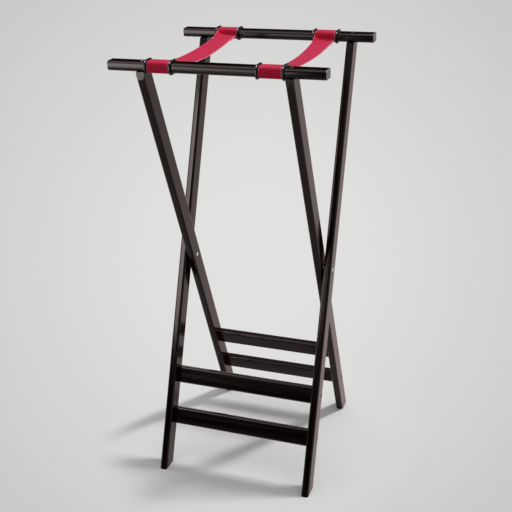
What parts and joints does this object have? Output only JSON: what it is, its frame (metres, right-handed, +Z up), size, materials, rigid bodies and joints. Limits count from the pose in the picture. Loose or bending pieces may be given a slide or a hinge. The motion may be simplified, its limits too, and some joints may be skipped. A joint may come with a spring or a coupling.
{
  "type": "folding tray stand",
  "caption": "Folding wooden tray stand: crossed leg frames turn on mid-height pivots, and webbing straps hold apart the top rails, whose rubber rings stop a tray from sliding.",
  "frame": {"origin": "on the floor under the middle of the stand", "axes": "+X along the rails to the right, +Y from the front to the back, +Z up"},
  "size_m": [0.452, 0.4164, 0.9696],
  "materials": {
    "lacquered_wood": "near-black espresso stain under gloss lacquer",
    "dowel_wood": "bare beech",
    "webbing": "crimson woven webbing",
    "rubber": "smooth black rubber",
    "steel": "zinc plated",
    "washer_plastic": "black nylon"
  },
  "bodies": {
    "inner_frame": {"back_lower_slat": "lacquered_wood", "back_slat_dowels": "dowel_wood", "back_slat_screws": "steel", "back_upper_slat": "lacquered_wood", "front_rail": "lacquered_wood", "front_rail_screws": "steel", "left_front_inner_ring": "rubber", "left_front_outer_ring": "rubber", "left_front_strap_loop": "webbing", "left_inner_leg": "lacquered_wood", "left_pivot_bolt": "steel", "left_pivot_nut": "steel", "left_pivot_washer": "washer_plastic", "left_strap_span": "webbing", "right_front_inner_ring": "rubber", "right_front_outer_ring": "rubber", "right_front_strap_loop": "webbing", "right_inner_leg": "lacquered_wood", "right_pivot_bolt": "steel", "right_pivot_nut": "steel", "right_pivot_washer": "washer_plastic", "right_strap_span": "webbing"},
    "outer_frame": {"back_rail": "lacquered_wood", "back_rail_screws": "steel", "front_lower_slat": "lacquered_wood", "front_slat_dowels": "dowel_wood", "front_slat_screws": "steel", "front_upper_slat": "lacquered_wood", "left_back_inner_ring": "rubber", "left_back_outer_ring": "rubber", "left_back_strap_loop": "webbing", "left_outer_leg": "lacquered_wood", "right_back_inner_ring": "rubber", "right_back_outer_ring": "rubber", "right_back_strap_loop": "webbing", "right_outer_leg": "lacquered_wood"}
  },
  "joints": [
    {"name": "fold", "type": "hinge", "parent": "inner_frame", "child": "outer_frame", "pos_m": [0, 0, 0.4725], "axis": [1, 0, 0], "range_deg": [0, 35], "deforming": ["left_strap_span", "right_strap_span"]}
  ]
}
